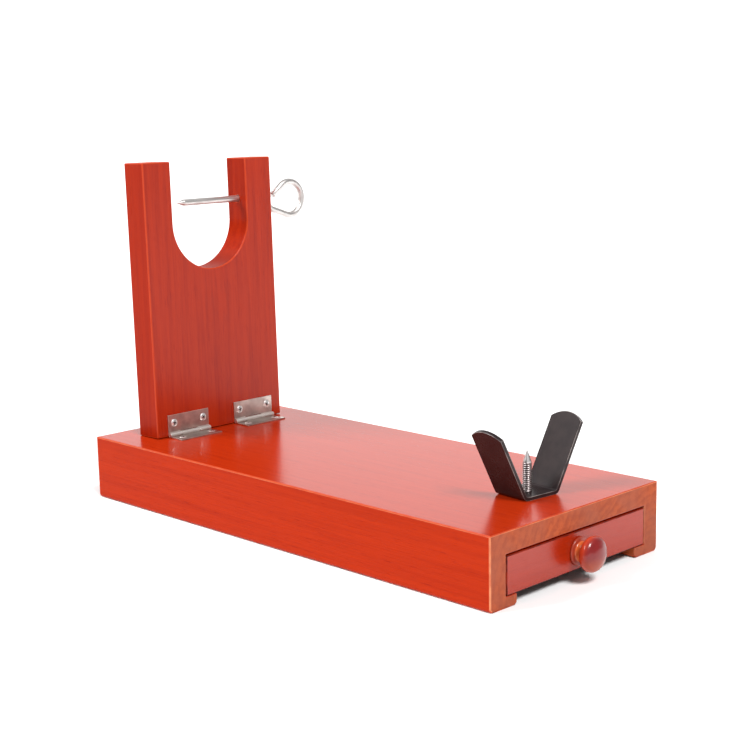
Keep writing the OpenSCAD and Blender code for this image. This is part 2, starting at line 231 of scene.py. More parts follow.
def block(low, high):
    """A box from its lowest to its highest corner."""
    corners = [(low[0], low[1]), (high[0], low[1]), (high[0], high[1]), (low[0], high[1])]
    return prism(corners, low[2], high[2], "Z")


def stack(rings):
    """A closed skin over rings of points that follow one another. A ring of one point is a tip."""
    bm = bmesh.new()
    made = [[bm.verts.new(point) for point in ring] for ring in rings]
    for lower, upper in zip(made, made[1:]):
        count = max(len(lower), len(upper))
        for i in range(count):
            j = (i + 1) % count
            corners = [lower[i % len(lower)], lower[j % len(lower)]]
            corners += [upper[j % len(upper)], upper[i % len(upper)]]
            bm.faces.new(list(dict.fromkeys(corners)))
    for end in (made[0], made[-1]):
        if len(end) > 1:
            bm.faces.new(end)
    return closed(bm)


def ring_points(radius, height, segments):
    """A level circle of points about Z, or its middle where the radius is 0."""
    if radius == 0:
        return [(0, 0, height)]
    return [(*point, height) for point in arc((0, 0), radius, 0, 360, segments)[:-1]]


def lathe(profile, segments=48):
    """A solid of revolution about Z, from (radius, height) points."""
    return stack([ring_points(radius, height, segments) for radius, height in profile])


def cross_recess(span, blade, depth):
    """A driver's cross as two bars, which taper down from z = 0 to -depth."""
    taper = 0.55
    above = 0.5
    bars = []
    for turn in (0, 90):
        outline = [(span / 2, above), (span / 2, 0), (span * taper / 2, -depth)]
        outline += [(-a, b) for a, b in reversed(outline)]
        bar = prism(outline, -blade / 2, blade / 2, "Y")
        bars.append(moved(bar, Matrix.Rotation(math.radians(turn), 4, "Z")))
    return bars


def as_mesh(name, bm):
    """Turns a solid into a mesh, which uses the solid up."""
    mesh = bpy.data.meshes.new(name)
    bm.to_mesh(mesh)
    bm.free()
    return mesh


def as_object(name, data):
    """Puts an object with a mesh, a camera or a light in the scene."""
    made = bpy.data.objects.new(name, data)
    bpy.context.scene.collection.objects.link(made)
    return made


def combined(solid, others, operation):
    """The solid with the others united with it (UNION) or cut from it (DIFFERENCE)."""
    merge_distance = 0.0005
    target, *tools = [as_object("scratch", as_mesh("scratch", bm)) for bm in (solid, *others)]
    for tool in tools:
        step = target.modifiers.new("step", "BOOLEAN")
        step.operation = operation
        step.solver = "EXACT"
        step.object = tool
    bpy.context.view_layer.update()
    result = bmesh.new()
    result.from_object(target, bpy.context.evaluated_depsgraph_get())
    for spent in (target, *tools):
        mesh = spent.data
        bpy.data.objects.remove(spent)
        bpy.data.meshes.remove(mesh)
    bmesh.ops.remove_doubles(result, verts=result.verts, dist=merge_distance)
    bmesh.ops.dissolve_degenerate(result, edges=result.edges, dist=merge_distance)
    return result


def cut(solid, *tools):
    return combined(solid, tools, "DIFFERENCE")


def joined(solid, *others):
    return combined(solid, others, "UNION")


def together(*solids):
    """Several separate solids as one mesh."""
    whole = bmesh.new()
    for solid in solids:
        mesh = as_mesh("scratch", solid)
        whole.from_mesh(mesh)
        bpy.data.meshes.remove(mesh)
    return whole


def choose_edges(bm, limit, left_sharp):
    """Marks the corners that get eased: those sharper than a limit, but for some left sharp."""
    weight = bm.edges.layers.float.new("bevel_weight_edge")
    for edge in bm.edges:
        middle = (edge.verts[0].co + edge.verts[1].co) / 2
        if len(edge.link_faces) == 2 and edge.calc_face_angle() > limit and not left_sharp(middle):
            edge[weight] = 1


def piece(name, bm, body, materials, nodes, ease=0, limit=35, left_sharp=lambda point: False):
    """Makes one piece from a solid, eases its edges and puts it in place of CAD nodes.

    Corners sharper than the limit, in degrees, are eased and take the last material.
    """
    if ease:
        choose_edges(bm, math.radians(limit), left_sharp)
    bm.transform(Matrix.Scale(MM, 4))
    mesh = as_mesh(name, bm)
    for material in materials:
        mesh.materials.append(material)
    mesh.shade_smooth()
    mesh.set_sharp_from_angle(angle=math.radians(limit))
    made = as_object(name, mesh)
    if ease:
        bevel = made.modifiers.new("ease", "BEVEL")
        bevel.width = ease * MM
        bevel.segments = 3
        bevel.limit_method = "WEIGHT"
        bevel.use_clamp_overlap = False
        bevel.harden_normals = True
        bevel.material = len(materials) - 1
    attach(made, body)
    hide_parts(*nodes)
    return made


# ---------------------------------------------------------------- materials


def srgb(red, green, blue):
    """A display colour, 0 to 255, as linear light."""
    values = [c / 255 for c in (red, green, blue)]
    return (*[v / 12.92 if v <= 0.04045 else ((v + 0.055) / 1.055) ** 2.4 for v in values], 1)


class Graph:
    """One material's nodes."""

    def __init__(self, name):
        self.material = bpy.data.materials.new(name)
        self.material.use_nodes = True
        self.tree = self.material.node_tree
        self.shader = self.tree.nodes["Principled BSDF"]

    def feed(self, socket, value):
        if isinstance(value, bpy.types.NodeSocket):
            self.tree.links.new(value, socket)
        else:
            socket.default_value = value

    def node(self, kind, *inputs, **settings):
        """A node, with its first inputs fed in order. None leaves an input as it is."""
        made = self.tree.nodes.new("ShaderNode" + kind)
        for name, value in settings.items():
            setattr(made, name, value)
        for socket, value in zip(made.inputs, inputs):
            if value is not None:
                self.feed(socket, value)
        return made

    def set(self, **values):
        """Shader inputs by name, with underscores for spaces."""
        for name, value in values.items():
            self.feed(self.shader.inputs[name.replace("_", " ")], value)

    def math(self, operation, *values):
        return self.node("Math", *values, operation=operation).outputs[0]

    def vector(self, operation, *values):
        return self.node("VectorMath", *values, operation=operation).outputs[0]

    def length(self, vector):
        return self.node("VectorMath", vector, operation="LENGTH").outputs["Value"]

    def axes(self, vector):
        return self.node("SeparateXYZ", vector).outputs

    def join(self, x, y, z):
        return self.node("CombineXYZ", x, y, z).outputs[0]

    def noise_outputs(self, vector, scale, detail):
        """A noise texture's value and its colour."""
        made = self.node("TexNoise")
        for name, value in {"Vector": vector, "Scale": scale, "Detail": detail}.items():
            self.feed(made.inputs[name], value)
        return made.outputs

    def noise(self, vector, scale=1, detail=2):
        return self.noise_outputs(vector, scale, detail)[0]

    def shades(self, vector):
        """Noise in three channels, each about zero."""
        return self.vector("SUBTRACT", self.noise_outputs(vector, 1, 2)[1], (0.5, 0.5, 0.5))

    def step(self, value, low, high, out_low=0, out_high=1):
        """A smooth step between two values."""
        made = self.node("MapRange", value, low, high, out_low, out_high)
        made.interpolation_type = "SMOOTHSTEP"
        return made.outputs[0]

    def mix(self, factor, first, second):
        made = self.node("Mix", data_type="RGBA")
        self.feed(made.inputs[0], factor)
        self.feed(made.inputs[6], first)
        self.feed(made.inputs[7], second)
        return made.outputs[2]

    def bump(self, height, distance):
        """A bump whose full height is a distance in millimetres."""
        made = self.node("Bump")
        self.feed(made.inputs["Height"], height)
        made.inputs["Distance"].default_value = distance * MM
        return made.outputs[0]

    def place(self):
        """The object's own coordinates, in millimetres."""
        where = self.node("TexCoord").outputs["Object"]
        return self.vector("MULTIPLY", where, (1 / MM, 1 / MM, 1 / MM))

    def normal(self):
        """The three axes of the surface's direction, in the object's own space."""
        return self.axes(self.node("TexCoord").outputs["Normal"])


# Order of the coordinates that puts the grain's direction last
GRAIN = {"X": (1, 2, 0), "Y": (0, 2, 1), "Z": (0, 1, 2)}


def wood_figure(graph, along, pith, spacing, warp):
    """Growth rings, streaks, fibres and dashes of a board, each from 0 to 1."""
    order = GRAIN[along]
    axes = graph.axes(graph.place())
    spot = graph.join(*[axes[i] for i in order])
    drift = graph.shades(graph.vector("MULTIPLY", spot, (1 / 30, 1 / 30, 1 / 300)))
    drift = graph.vector("MULTIPLY", drift, (warp, warp, 0))
    across = graph.vector("MULTIPLY", spot, (1, 1, 0))
    radial = graph.length(graph.vector("SUBTRACT", graph.vector("ADD", across, drift), (*pith, 0)))
    spread = graph.noise(graph.join(graph.math("MULTIPLY", radial, 0.09), 0.0, 0.0), detail=1)
    rings = graph.math("DIVIDE", radial, spacing)
    rings = graph.math("FRACT", graph.math("MULTIPLY_ADD", spread, 1.6, rings))
    late = graph.math("MULTIPLY", graph.step(rings, 0.25, 0.86), graph.step(rings, 0.9, 1, 1, 0))
    streak = graph.noise(graph.vector("MULTIPLY", spot, (1 / 4, 1 / 4, 1 / 160)), detail=3)
    fibre = graph.noise(graph.vector("MULTIPLY", spot, (1.3, 1.3, 1 / 34)), detail=3)
    dash = graph.noise(graph.vector("MULTIPLY", spot, (1.6, 1.6, 1 / 12)), detail=1)
    return late, graph.step(streak, 0.4, 0.7), graph.step(fibre, 0.35, 0.75), graph.step(dash, 0.62, 0.74)


def facing(graph, axis):
    """1 on faces square to an axis, 0 on faces along it."""
    cosine = graph.math("ABSOLUTE", graph.normal()["XYZ".index(axis)])
    return graph.step(cosine, 0.6, 0.9)


def facing_down(graph):
    """1 on undersides, 0 elsewhere."""
    return graph.step(graph.normal()[2], -0.5, -0.8)


def inside(graph, spot, opening):
    """1 inside an opening in the middle of the width, given as its half width and its top."""
    half_width, top = opening
    x, _, z = graph.axes(spot)
    beside = graph.math("LESS_THAN", graph.math("ABSOLUTE", x), half_width)
    return graph.math("MULTIPLY", beside, graph.math("LESS_THAN", z, top))


def total(graph, *shares):
    """The sum of values, each with its own weight."""
    result = 0.0
    for value, weight in shares:
        result = graph.math("MULTIPLY_ADD", value, weight, result)
    return result


def end_grain(graph, late, ends, painted_shade_heights):
    """The colour of end grain, from its three tones, with painted shade below the pair of heights given.
    """
    light, dark, weathered = ends
    spot = graph.place()
    cloud = graph.step(graph.noise(spot, scale=0.03, detail=2), 0.25, 0.75)
    pore = graph.noise(spot, scale=0.7, detail=3)
    swirl = graph.step(graph.noise(spot, scale=0.2, detail=4), 0.4, 0.62)
    tone = total(graph, (late, 0.22), (pore, 0.2), (swirl, 0.34), (cloud, 0.1))
    colour = graph.mix(tone, light, dark)
    colour = graph.mix(graph.math("MULTIPLY", cloud, 0.7), colour, weathered)
    if painted_shade_heights:
        # Painted shade: the end grain goes dark below the given heights
        colour = graph.mix(graph.step(graph.axes(spot)[2], *painted_shade_heights), colour, dark)
    return colour


def lacquered_wood(name, along, pith, spacing, warp, depth, contrast, coat, ends, satin_axis=None,
                   painted_shade=(0, 0), painted_shade_heights=None, channel=None):
    """A board stained red-orange under clear lacquer.

    Depth is how dark the stain is and contrast that of rings, streaks, fibres and dashes. The coat
    has an index of refraction and a roughness, and is thinner on the faces square to the satin axis
    and on end grain. The ends have a light, a dark and a weathered colour, and go over to the dark
    one below the pair of heights given, as painted shade. The pair of painted shade amounts says
    how far the faces square to X and the undersides are darkened, as painted shade. The walls of a
    channel, given as its half width and its top, have hardly taken the stain.
    """
    graph = Graph(name)
    figure = wood_figure(graph, along, pith, spacing, warp)
    late, _, fibre, dash = figure
    tone = total(graph, (1.0, depth), *zip(figure, contrast))
    colour = graph.mix(tone, STAIN_LIGHT, STAIN_DARK)
    if channel:
        bare = graph.math("MULTIPLY", inside(graph, graph.place(), channel), 0.85)
        colour = graph.mix(bare, colour, ends[0])
    end = facing(graph, along)
    colour = graph.mix(end, colour, end_grain(graph, late, ends, painted_shade_heights))
    painted_side_shade, painted_under_shade = painted_shade
    # Painted shade: faces square to X go towards the dark stain and undersides towards a near black
    colour = graph.mix(graph.math("MULTIPLY", facing(graph, "X"), painted_side_shade), colour, STAIN_DARK)
    colour = graph.mix(graph.math("MULTIPLY", facing_down(graph), painted_under_shade), colour, PAINTED_UNDERSIDE_SHADE)
    relief = graph.math("SUBTRACT", fibre, graph.math("MULTIPLY", dash, 0.7))
    thin = graph.math("MAXIMUM", end, facing(graph, satin_axis)) if satin_axis else end
    refraction, roughness = coat
    graph.set(
        Base_Color=colour,
        Roughness=0.55,
        Specular_IOR_Level=0.0,
        Normal=graph.bump(relief, 0.05),
        Coat_Weight=graph.math("MULTIPLY_ADD", thin, -0.7, 1.0),
        Coat_Roughness=roughness,
        Coat_IOR=refraction,
        Coat_Normal=graph.bump(relief, 0.012),
    )
    return graph.material


def knob_lacquer():
    """Turned wood under thick lacquer: dark red on the crown, paler below as a painted reflection
    of the floor, and paler towards the neck as painted light.
    """
    graph = Graph("knob_lacquer")
    late, streak, fibre, _ = wood_figure(graph, "Y", (3, 10), 3.2, 5)
    tone = total(graph, (late, 0.12), (streak, 0.2))
    _, reach, rise = graph.axes(graph.place())
    rim = front_low.y - KNOB_EDGE_CENTRE
    flange = front_low.y - FLANGE_HEIGHT
    # Painted reflection of the floor paling the lower crown, and painted light paling the neck
    painted_floor_reflection = graph.step(rise, knob_height + 1, knob_height - 8)
    crown_share = graph.step(reach, rim + 1.5, rim - 3.5)
    painted_neck_light = graph.step(reach, rim + 2, rim + 6)
    flange_share = graph.step(reach, flange - 0.5, flange)
    crown = graph.mix(tone, srgb(122, 20, 20), srgb(96, 14, 16))
    crown = graph.mix(painted_floor_reflection, crown, srgb(156, 60, 28))
    colour = graph.mix(crown_share, srgb(202, 66, 34), crown)
    colour = graph.mix(painted_neck_light, colour, srgb(208, 100, 48))
    graph.set(
        Base_Color=graph.mix(flange_share, colour, srgb(158, 56, 36)),
        Roughness=0.45,
        Specular_IOR_Level=0.2,
        Coat_Weight=0.85,
        Coat_Roughness=0.15,
        Coat_IOR=1.42,
        Coat_Normal=graph.bump(fibre, 0.003),
    )
    return graph.material


def bare_wood(name, along, pith, painted_under_shade=0):
    """Planed pale wood with no finish. The last argument says how far the underside is darkened, as
    painted shade.
    """
    graph = Graph(name)
    late, streak, fibre, dash = wood_figure(graph, along, pith, 4, 14)
    tone = total(graph, (late, 0.35), (fibre, 0.2), (streak, 0.25))
    colour = graph.mix(tone, srgb(222, 190, 144), srgb(176, 132, 86))
    colour = graph.mix(graph.math("MULTIPLY", dash, 0.25), colour, srgb(140, 98, 62))
    colour = graph.mix(graph.math("MULTIPLY", facing(graph, along), 0.5), colour, srgb(168, 124, 80))
    # Painted shade on the underside
    colour = graph.mix(graph.math("MULTIPLY", facing_down(graph), painted_under_shade), colour, srgb(84, 58, 42))
    relief = graph.math("SUBTRACT", fibre, graph.math("MULTIPLY", dash, 0.6))
    graph.set(
        Base_Color=colour,
        Roughness=graph.math("MULTIPLY_ADD", fibre, 0.2, 0.5),
        Specular_IOR_Level=0.35,
        Normal=graph.bump(relief, 0.08),
    )
    return graph.material


def metal(name, colour, shade, roughness, brush):
    """Plated or plain steel with fine brush lines along one axis and faint smudges."""
    graph = Graph(name)
    spot = graph.place()
    lines = graph.noise(graph.vector("MULTIPLY", spot, brush), detail=3)
    smudge = graph.noise(spot, scale=0.11, detail=3)
    finish = graph.math("MULTIPLY_ADD", lines, 0.10, roughness - 0.05)
    finish = graph.math("MULTIPLY_ADD", graph.step(smudge, 0.4, 0.7), 0.08, finish)
    graph.set(
        Base_Color=graph.mix(graph.step(smudge, 0.3, 0.75), colour, shade),
        Metallic=1.0,
        Roughness=finish,
        Normal=graph.bump(lines, 0.004),
    )
    return graph.material


def threaded_steel():
    """Bright steel whose plain point is lighter than its thread, as a painted highlight, and dark in
    the thread's roots, as painted shade.
    """
    graph = Graph("threaded_steel")
    x, y, z = graph.axes(graph.place())
    across = graph.math("POWER", graph.math("SUBTRACT", x, rest_centre.x), 2)
    along = graph.math("POWER", graph.math("SUBTRACT", y, rest_centre.y), 2)
    reach = graph.math("SQRT", graph.math("ADD", across, along))
    blend = 0.1
    # Painted shade in the thread's roots
    root = graph.step(reach, SPIKE_RADIUS - blend, SPIKE_RADIUS - THREAD_DEPTH + blend)
    shoulder = spike_high.z - SPIKE_POINT
    threaded = graph.step(z, shoulder, shoulder - 0.3)
    shade = graph.math("MULTIPLY", root, threaded)
    # Painted highlight: the plain point is lighter than the thread's crests
    crest_with_painted_tip_light = graph.mix(threaded, srgb(240, 236, 235), srgb(206, 194, 193))
    graph.set(
        Base_Color=graph.mix(shade, crest_with_painted_tip_light, srgb(78, 66, 65)),
        Metallic=1.0,
        Roughness=graph.math("MULTIPLY_ADD", shade, 0.2, 0.32),
    )
    return graph.material


def black_paint(name, light, dark, specular):
    """Satin black enamel on steel, with a faint orange-peel surface."""
    graph = Graph(name)
    spot = graph.place()
    peel = graph.noise(spot, scale=0.9, detail=2)
    cloud = graph.noise(spot, scale=0.1, detail=3)
    graph.set(
        Base_Color=graph.mix(graph.step(cloud, 0.3, 0.7), light, dark),
        Roughness=0.26,
        Specular_IOR_Level=specular,
        Normal=graph.bump(peel, 0.008),
    )
    return graph.material


def eased_edge(name, colour, upright_wear_and_sheen, opening=None):
    """Lacquer on an eased edge: one colour along level edges and one along upright edges. The
    upright colour is partly worn, thin lacquer and partly a painted highlight.

    Around an opening, given as its half width and its top, the edge is darkened as painted shade.
    """
    graph = Graph(name)
    spot = graph.place()
    patch = graph.step(graph.noise(spot, scale=0.12, detail=3), 0.3, 0.75)
    level = graph.step(graph.math("ABSOLUTE", graph.normal()[2]), 0.1, 0.35)
    # Upright edges take the paler colour: partly worn, thin lacquer and partly a painted highlight
    tint = graph.mix(level, upright_wear_and_sheen, colour)
    tint = graph.mix(graph.math("MULTIPLY", patch, 0.6), tint, STAIN_LIGHT)
    if opening:
        # Painted shade on the edges round the opening
        painted_mouth_shade_share = graph.math("MULTIPLY", inside(graph, spot, opening), 0.5)
        tint = graph.mix(painted_mouth_shade_share, tint, PAINTED_MOUTH_SHADE)
    graph.set(
        Base_Color=tint,
        Roughness=0.5,
        Specular_IOR_Level=0.1,
        Coat_Weight=0.4,
        Coat_Roughness=0.2,
        Coat_IOR=1.35,
    )
    return graph.material


def floor_paper():
    """Matt white paper, a little mottled."""
    graph = Graph("floor_paper")
    mottle = graph.noise(graph.place(), scale=0.004, detail=2)
    graph.set(
        Base_Color=graph.mix(mottle, (0.94, 0.94, 0.94, 1), (0.97, 0.97, 0.97, 1)),
        Roughness=0.9,
        Specular_IOR_Level=0.0,
    )
    return graph.material


STAIN_LIGHT = srgb(176, 46, 10)
STAIN_DARK = srgb(122, 18, 6)
# Painted shade on the edges round the channel's mouth
PAINTED_MOUTH_SHADE = srgb(112, 18, 12)
# Painted shade along the drawer front's eased edges, which sit in the gaps round the drawer
PAINTED_GAP_SHADE = srgb(64, 10, 8)
# Painted shade for the undersides of lacquered wood
PAINTED_UNDERSIDE_SHADE = srgb(44, 12, 8)
# Light, dark and weathered end grain
BASE_ENDS = (srgb(178, 84, 48), srgb(130, 54, 36), srgb(150, 86, 68))
BOARD_ENDS = (srgb(200, 84, 42), srgb(134, 34, 16), srgb(190, 74, 40))
# How far beyond the channel its bare walls and the painted shade round its mouth are looked for
CHANNEL_MARGIN = 0.5
MOUTH_MARGIN = 1.5
# Heights over the base between which the upright's end grain goes over to dark, as painted shade
PAINTED_SHADE_HEIGHTS = (190, 150)

base_wood = lacquered_wood(
    "base_lacquer", "Y", pith=(75, -20), spacing=5.5, warp=16, depth=0.06,
    contrast=(0.05, 0.14, 0.14, 0.35), coat=(1.28, 0.2), ends=BASE_ENDS, satin_axis="X",
    channel=(channel_half + CHANNEL_MARGIN, channel_top + CHANNEL_MARGIN))
board_wood = lacquered_wood(
    "upright_lacquer", "Z", pith=(6, 190), spacing=7, warp=16, depth=0.22,
    contrast=(0.08, 0.22, 0.16, 0.3), coat=(1.33, 0.25), ends=BOARD_ENDS, satin_axis="X",
    painted_shade=(0.28, 0), painted_shade_heights=[base_high.z + height for height in PAINTED_SHADE_HEIGHTS])
front_wood = lacquered_wood(
    "drawer_front_lacquer", "X", pith=(-150, -60), spacing=6, warp=10, depth=0.38,
    contrast=(0.03, 0.06, 0.08, 0.08), coat=(1.5, 0.24), ends=BOARD_ENDS, painted_shade=(0, 1))
# The base's upright edges are pale: worn lacquer together with a painted highlight
base_edge = eased_edge("base_edge_lacquer", srgb(184, 68, 32), srgb(208, 130, 90),
                       (channel_half + MOUTH_MARGIN, channel_top + MOUTH_MARGIN))
board_edge = eased_edge("upright_edge_lacquer", srgb(178, 54, 18), srgb(180, 58, 24))
# The drawer front's eased edges are all painted dark, as painted shade in the gaps
front_edge_gap_shade = eased_edge("drawer_edge_painted_shade", PAINTED_GAP_SHADE, PAINTED_GAP_SHADE)
knob_wood = knob_lacquer()
side_wood = bare_wood("drawer_side_wood", "Y", (10, -50))
back_wood = bare_wood("drawer_back_wood", "X", (120, -40))
# The drawer bottom's underside is darkened as painted shade
panel_wood = bare_wood("drawer_bottom_wood", "X", (60, 220), painted_under_shade=0.9)

# Noise scales along X, Y and Z: brush lines along the hinges, and draw marks along the rods
BRUSHED = (0.05, 3, 3)
DRAWN = (0.2, 4, 4)
nickel = metal("nickel", srgb(208, 196, 188), srgb(172, 156, 150), 0.3, BRUSHED)
# A lighter copy of the nickel for the knuckles, as painted light
painted_lit_nickel = metal("nickel_painted_lighter", srgb(240, 230, 224), srgb(220, 208, 202), 0.42, BRUSHED)
rod_steel = metal("rod_steel", srgb(220, 216, 213), srgb(204, 199, 196), 0.38, DRAWN)
steel = metal("bright_steel", srgb(220, 216, 213), srgb(196, 190, 187), 0.26, DRAWN)
# A dark copy of the steel for the screws' cross recesses, as painted shade
painted_recess_shade_steel = metal("painted_recess_shade_steel", srgb(120, 112, 108), srgb(96, 88, 84), 0.5, DRAWN)
screw_steel = metal("screw_steel", srgb(248, 245, 243), srgb(232, 228, 226), 0.42, DRAWN)
spike_steel = threaded_steel()
paint = black_paint("black_paint", srgb(47, 38, 38), srgb(39, 31, 32), 0.22)
# Paler paint on the strip's eased edges: partly worn paint showing steel, partly a painted highlight
paint_edge = black_paint("black_paint_edge_wear_and_highlight", srgb(150, 140, 136), srgb(56, 46, 46), 0.8)

# ---------------------------------------------------------------- base


def rounded_section():
    """The base's outline across its length, with rounded lower corners."""
    r = FOOT_ROUNDING
    low, high = base_low, base_high
    outline = arc((low.x + r, low.z + r), r, 180, 270, ROUNDING_STEPS)
    outline += arc((high.x - r, low.z + r), r, 270, 360, ROUNDING_STEPS)
    return outline + [(high.x, high.z), (low.x, high.z)]


def slot_section():
    """The opening between the two ledges, which are rounded at their lower edges."""
    r = FOOT_ROUNDING
    half = SLOT_HALF
    below = base_low.z - OVERCUT
    above = ledge_top + OVERCUT
    right = arc((half + r, base_low.z + r), r, 270, 180, ROUNDING_STEPS)
    left = [(-x, z) for x, z in reversed(right)]
    return [(half + r, below)] + right + [(half, above), (-half, above)] + left + [(-half - r, below)]


def spike_hole():
    """The hole for the spike and its sunk head, up through the channel's roof."""
    gap = 0.08
    hole = lathe([
        (0, channel_top - OVERCUT),
        (SPIKE_HEAD_RADIUS + gap, channel_top - OVERCUT),
        (SPIKE_HEAD_RADIUS + gap, channel_top),
        (SPIKE_RADIUS + gap, channel_top + SPIKE_HEAD_HEIGHT),
        (SPIKE_RADIUS + gap, base_high.z + OVERCUT),
        (0, base_high.z + OVERCUT),
    ])
    return moved(hole, at(rest_centre.x, rest_centre.y, 0))


def at_slot_end(point):
    """Where the slot's rounded edges run out at its end wall, with no room for an eased corner."""
    outside = FOOT_ROUNDING + 0.1
    return point.y > channel_end - 0.5 and point.z < outside and abs(point.x) < SLOT_HALF + outside


def build_base():
    reach = base_low.y - OVERCUT
    channel = block((-channel_half, reach, ledge_top), (channel_half, channel_end, channel_top))
    slot = prism(slot_section(), reach, channel_end, "Y")
    solid = prism(rounded_section(), base_low.y, base_high.y, "Y")
    solid = cut(solid, channel, slot, spike_hole())
    piece("base_board", solid, "base", [base_wood, base_edge], ["base_block"],
          ease=WOOD_EASE, left_sharp=at_slot_end)


# ---------------------------------------------------------------- V rest and spike


def rest_side(y, radius, rise, height):
    """Half of the strip's run, in x and z: floor, bend and arm, as wide as a radius of the bend."""
    floor_rows, bend_rows, arm_rows = 3, 8, 8
    slope = math.radians(rise)
    arm_start = BEND_OUTER * math.tan(slope / 2)
    floor_half = REST_HALF - arm_start
    floor = [(floor_half * i / floor_rows, BEND_OUTER - radius) for i in range(floor_rows)]
    run = floor + arc((floor_half, BEND_OUTER), radius, -90, rise - 90, bend_rows)
    crown_radius = (STRIP_HALF ** 2 + ARM_CROWN ** 2) / (2 * ARM_CROWN)
    corner = height / math.sin(slope) - arm_start
    reach = corner + ARM_CROWN - crown_radius + math.sqrt(crown_radius ** 2 - y ** 2)
    x, z = run[-1]
    arm = [(x + reach * i / arm_rows * math.cos(slope), z + reach * i / arm_rows * math.sin(slope))
           for i in range(1, arm_rows + 1)]
    return run + arm


def rest_column(y, radius):
    """The strip's run from one arm's end to the other, at one place across the strip."""
    right = rest_side(y, radius, *RIGHT_ARM)
    left = [(-a, b) for a, b in reversed(rest_side(y, radius, *LEFT_ARM)[1:])]
    return [(a, y, b) for a, b in left + right]


def strip_solid():
    """The strip's closed skin, from one long edge to the other."""
    columns = 20
    bm = bmesh.new()
    rings = []
    for i in range(columns + 1):
        y = STRIP_HALF * math.sin(math.pi * (i / columns - 0.5))
        outer = rest_column(y, BEND_OUTER)
        inner = rest_column(y, BEND_OUTER - STRIP_THICKNESS)
        rings.append([bm.verts.new(point) for point in outer + inner[::-1]])
    count = len(rings[0])
    for lower, upper in zip(rings, rings[1:]):
        for i in range(count):
            j = (i + 1) % count
            bm.faces.new((lower[i], lower[j], upper[j], upper[i]))
    for side in (rings[0], rings[-1]):
        for i in range(count // 2 - 1):
            bm.faces.new((side[i], side[i + 1], side[count - 2 - i], side[count - 1 - i]))
    return closed(bm)


def build_rest():
    turn = Matrix.Rotation(math.radians(REST_TURN), 4, "Z")
    solid = strip_solid()
    solid.transform(at(rest_centre.x, rest_centre.y, base_high.z) @ turn)
    piece("v_rest_strip", solid, "base", [paint, paint_edge], ["v_rest"], ease=0.35,
          limit=40)


def spike_radius(height, turn):
    """The spike's radius at a height above its head's face and a turn from 0 to 1."""
    shoulder = spike_high.z - spike_low.z - SPIKE_POINT
    if height <= SPIKE_HEAD_HEIGHT:
        share = height / SPIKE_HEAD_HEIGHT
        return SPIKE_HEAD_RADIUS + (SPIKE_RADIUS - SPIKE_HEAD_RADIUS) * share
    if height >= shoulder:
        share = (height - shoulder) / SPIKE_POINT
        return (SPIKE_RADIUS - THREAD_DEPTH / 2) * (1 - share) + SPIKE_TIP_RADIUS * share
    phase = (height / THREAD_PITCH - turn) % 1
    ridge = (0.5 - 0.5 * math.cos(2 * math.pi * phase)) ** RIDGE_POWER
    fade = min(1, (shoulder - height) / THREAD_PITCH, (height - SPIKE_HEAD_HEIGHT) / THREAD_PITCH)
    root = SPIKE_RADIUS - THREAD_DEPTH
    return root + THREAD_DEPTH * (ridge * fade + 0.5 * (1 - fade))


def build_spike():
    segments = 48
    tip_rows = 6
    step = THREAD_PITCH / 10
    length = spike_high.z - spike_low.z
    shoulder = length - SPIKE_POINT
    thread_rows = round((shoulder - SPIKE_HEAD_HEIGHT) / step)
    rows = [0, SPIKE_HEAD_HEIGHT]
    rows += [SPIKE_HEAD_HEIGHT + step * i for i in range(1, thread_rows)]
    rows += [shoulder + SPIKE_POINT * i / tip_rows for i in range(tip_rows + 1)]
    rings = []
    for height in rows:
        ring = []
        for i in range(segments):
            radius = spike_radius(height, i / segments)
            angle = 2 * math.pi * i / segments
            ring.append((radius * math.cos(angle), radius * math.sin(angle), height))
        rings.append(ring)
    rings.append([(0, 0, length)])
    recess = [moved(bar, Matrix.Rotation(math.pi, 4, "X")) for bar in cross_recess(*SPIKE_CROSS)]
    solid = cut(stack(rings), *recess)
    solid = moved(solid, at(rest_centre.x, rest_centre.y, spike_low.z))
    piece("spike", solid, "base", [spike_steel], ["spike_screw"], limit=50)


# ---------------------------------------------------------------- hinges

ON_HINGE = at(*hinge)
ON_UPRIGHT = ON_HINGE @ Matrix.Rotation(math.radians(-LEAN), 4, "X")
# Lays a solid that stands along Z down along X
ALONG_X = Matrix.Rotation(math.pi / 2, 4, "Y")
# Stands a leaf that lies on the base up against the board
STOOD_UP = Matrix(((1, 0, 0, 0), (0, 0, -1, 0), (0, -1, 0, 0), (0, 0, 0, 1)))


def curl_section():
    """A knuckle rolled from the leaf round the pin, in y and z from the hinge axis."""
    seam = 203
    bore = PIN_RADIUS + 0.05
    overlap = 1.2
    outer = arc((0, 0), KNUCKLE_RADIUS, -68, seam, 30)
    inner = arc((0, 0), bore, seam, -90, 26)
    tail = -LEAF_RELIEF - overlap
    return [(tail, -AXIS_OFFSET), (0, -AXIS_OFFSET)] + outer + inner + [(tail, -bore)]


# Places of the recess in a screw's list of materials, which takes painted shade, and of the knuckles in a
# leaf's, which take painted light
RECESS_MATERIAL = 1
CURL_MATERIAL = 1


def screw_places():
    """Where the screws sit on a leaf that lies on the base."""
    return [(end * SCREW_SPACING / 2, -SCREW_ROW, -AXIS_OFFSET) for end in (-1, 1)]


